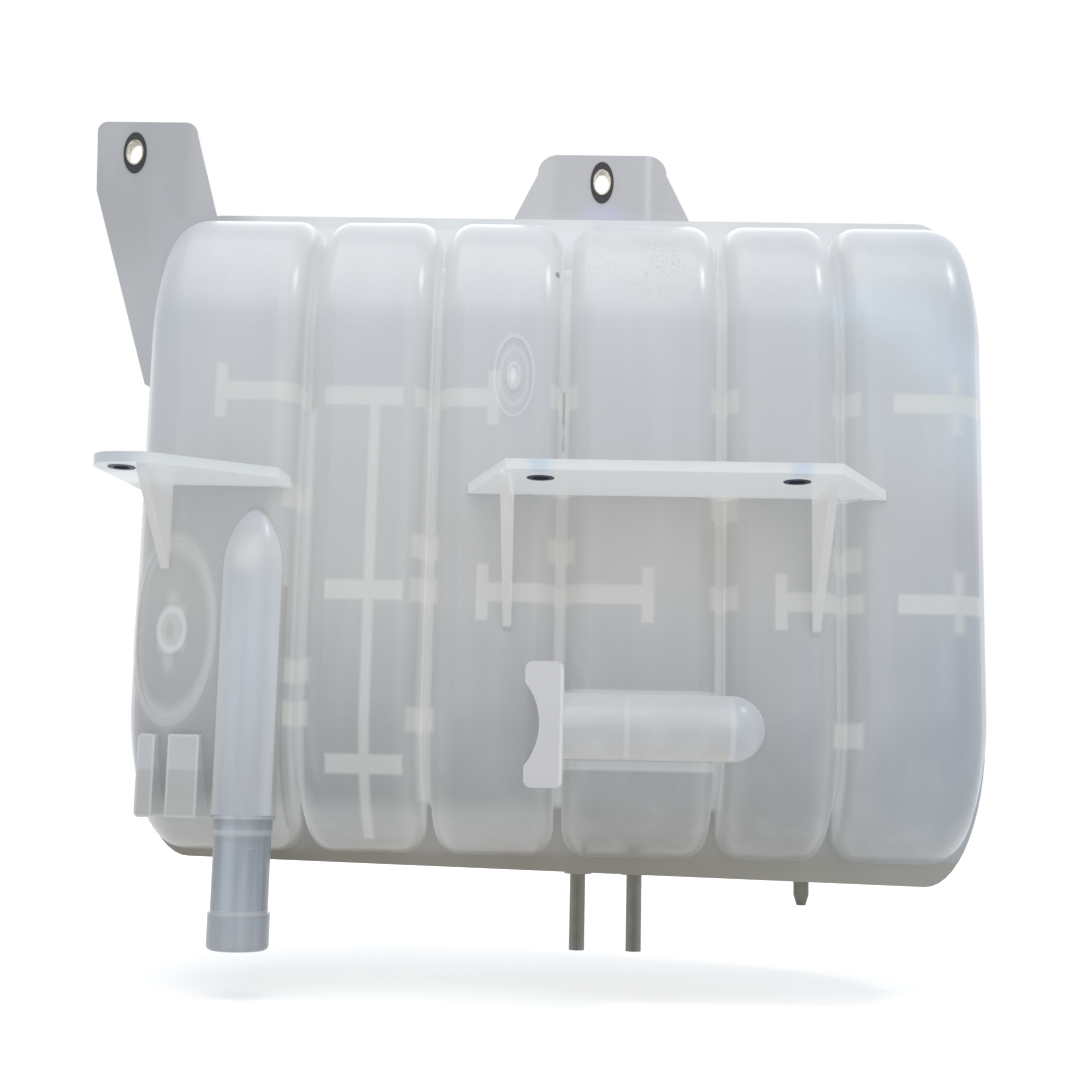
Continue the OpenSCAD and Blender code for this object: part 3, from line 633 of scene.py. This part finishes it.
def nipple_plastic():
    g = Graph("nipple_plastic")
    tone = g.mix(g.noise(120, 2.0), colour(98, 96, 88), colour(122, 119, 111))
    for x in NIPPLES_X:
        edges = g.smooth(g.distance(g.distance(g.x, x), 3.0), 1.3, 0.3)
        tone = g.tint(tone, edges, 0.5, colour(148, 146, 140))
        tone = g.tint(tone, g.smooth(g.distance(g.x, x), 1.2, 0.3), 0.5, colour(78, 76, 70))
    near_rim = g.smooth(g.z, BOTTOM - 20, BOTTOM - 8)
    tone = g.tint(tone, near_rim, 0.4, colour(134, 130, 114))
    right = g.smooth(g.x, DRAIN_X - 5, DRAIN_X + 5)
    tip = g.both(right, g.smooth(g.z, BOTTOM - 21, BOTTOM - 26))
    tone = g.tint(tone, tip, 0.6, colour(84, 78, 60))
    return g.finish(tone, 0.4, glow=0.3, normal=g.bump(g.noise(700, 2.0), 0.1, 0.0003))


# Small parts

def rubber():
    g = Graph("rubber")
    tone = g.mix(g.noise(300, 3.0), colour(14, 15, 20), colour(30, 31, 36))
    return g.finish(tone, 0.55, normal=g.bump(g.noise(1500, 2.0), 0.15, 0.0003))


def steel():
    g = Graph("steel")
    tone = g.mix(g.noise(200, 4.0), colour(132, 122, 104), colour(196, 192, 182))
    dark = g.smooth(g.noise(420, 4.0), 0.52, 0.64)
    tone = g.tint(tone, dark, 0.6, colour(84, 78, 66))
    return g.finish(tone, 0.38, metallic=0.85, normal=g.bump(g.noise(900, 3.0), 0.3, 0.0004))


def dark_bush():
    g = Graph("dark_bush")
    tone = g.mix(g.noise(300, 3.0), colour(16, 16, 40), colour(34, 34, 62))
    return g.finish(tone, 0.5, normal=g.bump(g.noise(1200, 2.0), 0.15, 0.0003))


def cap_plastic():
    g = Graph("cap_plastic")
    tone = g.mix(g.noise(150, 3.0), colour(20, 20, 22), colour(32, 32, 34))
    dust = g.smooth(g.noise(90, 5.0), 0.55, 0.75)
    tone = g.tint(tone, dust, 0.25, colour(96, 92, 84))
    return g.finish(tone, 0.38, normal=g.bump(g.noise(1200, 2.0), 0.12, 0.0003))


def plug_plastic():
    g = Graph("plug_plastic")
    tone = g.mix(g.noise(150, 3.0), colour(60, 60, 62), colour(76, 76, 78))
    return g.finish(tone, 0.45, normal=g.bump(g.noise(900, 2.0), 0.12, 0.0003))


dress("front_shell", milky("milky_front", True))
dress("rear_shell", milky("milky_rear", False))
dress("outlet_spigot", spigot_plastic())
nipple_look = nipple_plastic()
for name in ("vent_nipple", "return_nipple", "drain_stub"):
    dress(name, nipple_look)
rubber_look = rubber()
for name in ("left_lug_grommet", "centre_lug_grommet", "cap_seal"):
    dress(name, rubber_look)
steel_look = steel()
for name in ("left_lug_sleeve", "centre_lug_sleeve"):
    dress(name, steel_look)
bush_look = dark_bush()
for name in ("left_shelf_bush", "centre_shelf_bush_left", "centre_shelf_bush_right"):
    dress(name, bush_look)
dress("cap_shell", cap_plastic())
dress("cap_insert", plug_plastic())


# Studio

def seen_directly(g):
    """1 for rays that show the background itself: from the camera, off gloss or through glass."""
    rays = g.node("ShaderNodeLightPath").outputs
    return g.largest([rays["Is Camera Ray"], rays["Is Glossy Ray"], rays["Is Transmission Ray"]])


def white_floor():
    """A floor that shows near white, keeps the tank's shadow and is clear from below."""
    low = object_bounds()[0].z - FLOOR_GAP
    mesh = bpy.data.meshes.new("floor")
    sides = ((-1, -1), (1, -1), (1, 1), (-1, 1))
    corners = [(x * FLOOR_HALF, y * FLOOR_HALF, low) for x, y in sides]
    mesh.from_pydata(corners, [], [(0, 1, 2, 3)])
    floor = bpy.data.objects.new("floor", mesh)
    bpy.context.scene.collection.objects.link(floor)
    g = Graph("floor_white")
    matt = g.node("ShaderNodeBsdfDiffuse")
    g.feed(matt.inputs["Color"], FLOOR_COLOUR)
    glow = g.node("ShaderNodeEmission")
    across = g.math("ADD", g.math("MULTIPLY", g.x, g.x), g.math("MULTIPLY", g.y, g.y))
    strength = g.smooth(g.math("SQRT", across), FLOOR_NEAR, FLOOR_FAR,
                        FLOOR_GLOW_NEAR, FLOOR_GLOW_FAR)
    g.feed(glow.inputs["Strength"], g.math("MULTIPLY", seen_directly(g), strength))
    top = g.node("ShaderNodeAddShader")
    g.feed(top.inputs[0], matt.outputs[0])
    g.feed(top.inputs[1], glow.outputs[0])
    clear = g.node("ShaderNodeBsdfTransparent")
    mix = g.node("ShaderNodeMixShader")
    g.feed(mix.inputs[0], g.node("ShaderNodeNewGeometry").outputs["Backfacing"])
    g.feed(mix.inputs[1], top.outputs[0])
    g.feed(mix.inputs[2], clear.outputs[0])
    mesh.materials.append(g.show(mix))


def white_world():
    """White where it is seen directly, and a softer light for the tank."""
    world = bpy.data.worlds.new("studio")
    bpy.context.scene.world = world
    world.use_nodes = True
    w = Nodes(world.node_tree)
    back = w.node("ShaderNodeBackground")
    w.feed(back.inputs[0], w.mix(seen_directly(w), WORLD_LIGHT, WORLD_SEEN))
    output = w.node("ShaderNodeOutputWorld")
    w.feed(output.inputs[0], back.outputs[0])


def area_light(name, place, target, width, power):
    data = bpy.data.lights.new(name, "AREA")
    data.shape = "SQUARE"
    data.size = width
    data.energy = power
    light = bpy.data.objects.new(name, data)
    light.location = place
    light.rotation_euler = (target - place).to_track_quat("-Z", "Y").to_euler()
    bpy.context.scene.collection.objects.link(light)


def photo_camera():
    """The camera looks ahead by yaw and pitch, then turns about its view by roll."""
    place = Vector(CAMERA_PLACE) * MM
    yaw, pitch, roll = (math.radians(a) for a in CAMERA_YAW_PITCH_ROLL)
    forward = Vector((math.sin(yaw), math.cos(yaw), 0))
    ahead = forward * math.cos(pitch) + Vector((0, 0, math.sin(pitch)))
    level = Vector((math.cos(yaw), -math.sin(yaw), 0))
    upright = level.cross(ahead)
    right = level * math.cos(roll) + upright * math.sin(roll)
    up = upright * math.cos(roll) - level * math.sin(roll)
    data = bpy.data.cameras.new("photo_camera")
    data.sensor_width = CAMERA_SENSOR
    data.lens = CAMERA_LENS
    data.clip_end = CAMERA_FAR
    camera = bpy.data.objects.new("photo_camera", data)
    turn = Matrix((right, up, -ahead)).transposed()
    camera.matrix_world = Matrix.Translation(place) @ turn.to_4x4()
    bpy.context.scene.collection.objects.link(camera)
    bpy.context.scene.camera = camera


white_floor()
white_world()
middle = (CAD_BOX[0] + CAD_BOX[1]) / 2
for name, offset, width, power in LAMPS:
    area_light(name, middle + Vector(offset), middle, width, power)
photo_camera()

bpy.context.scene.view_settings.view_transform = "Standard"
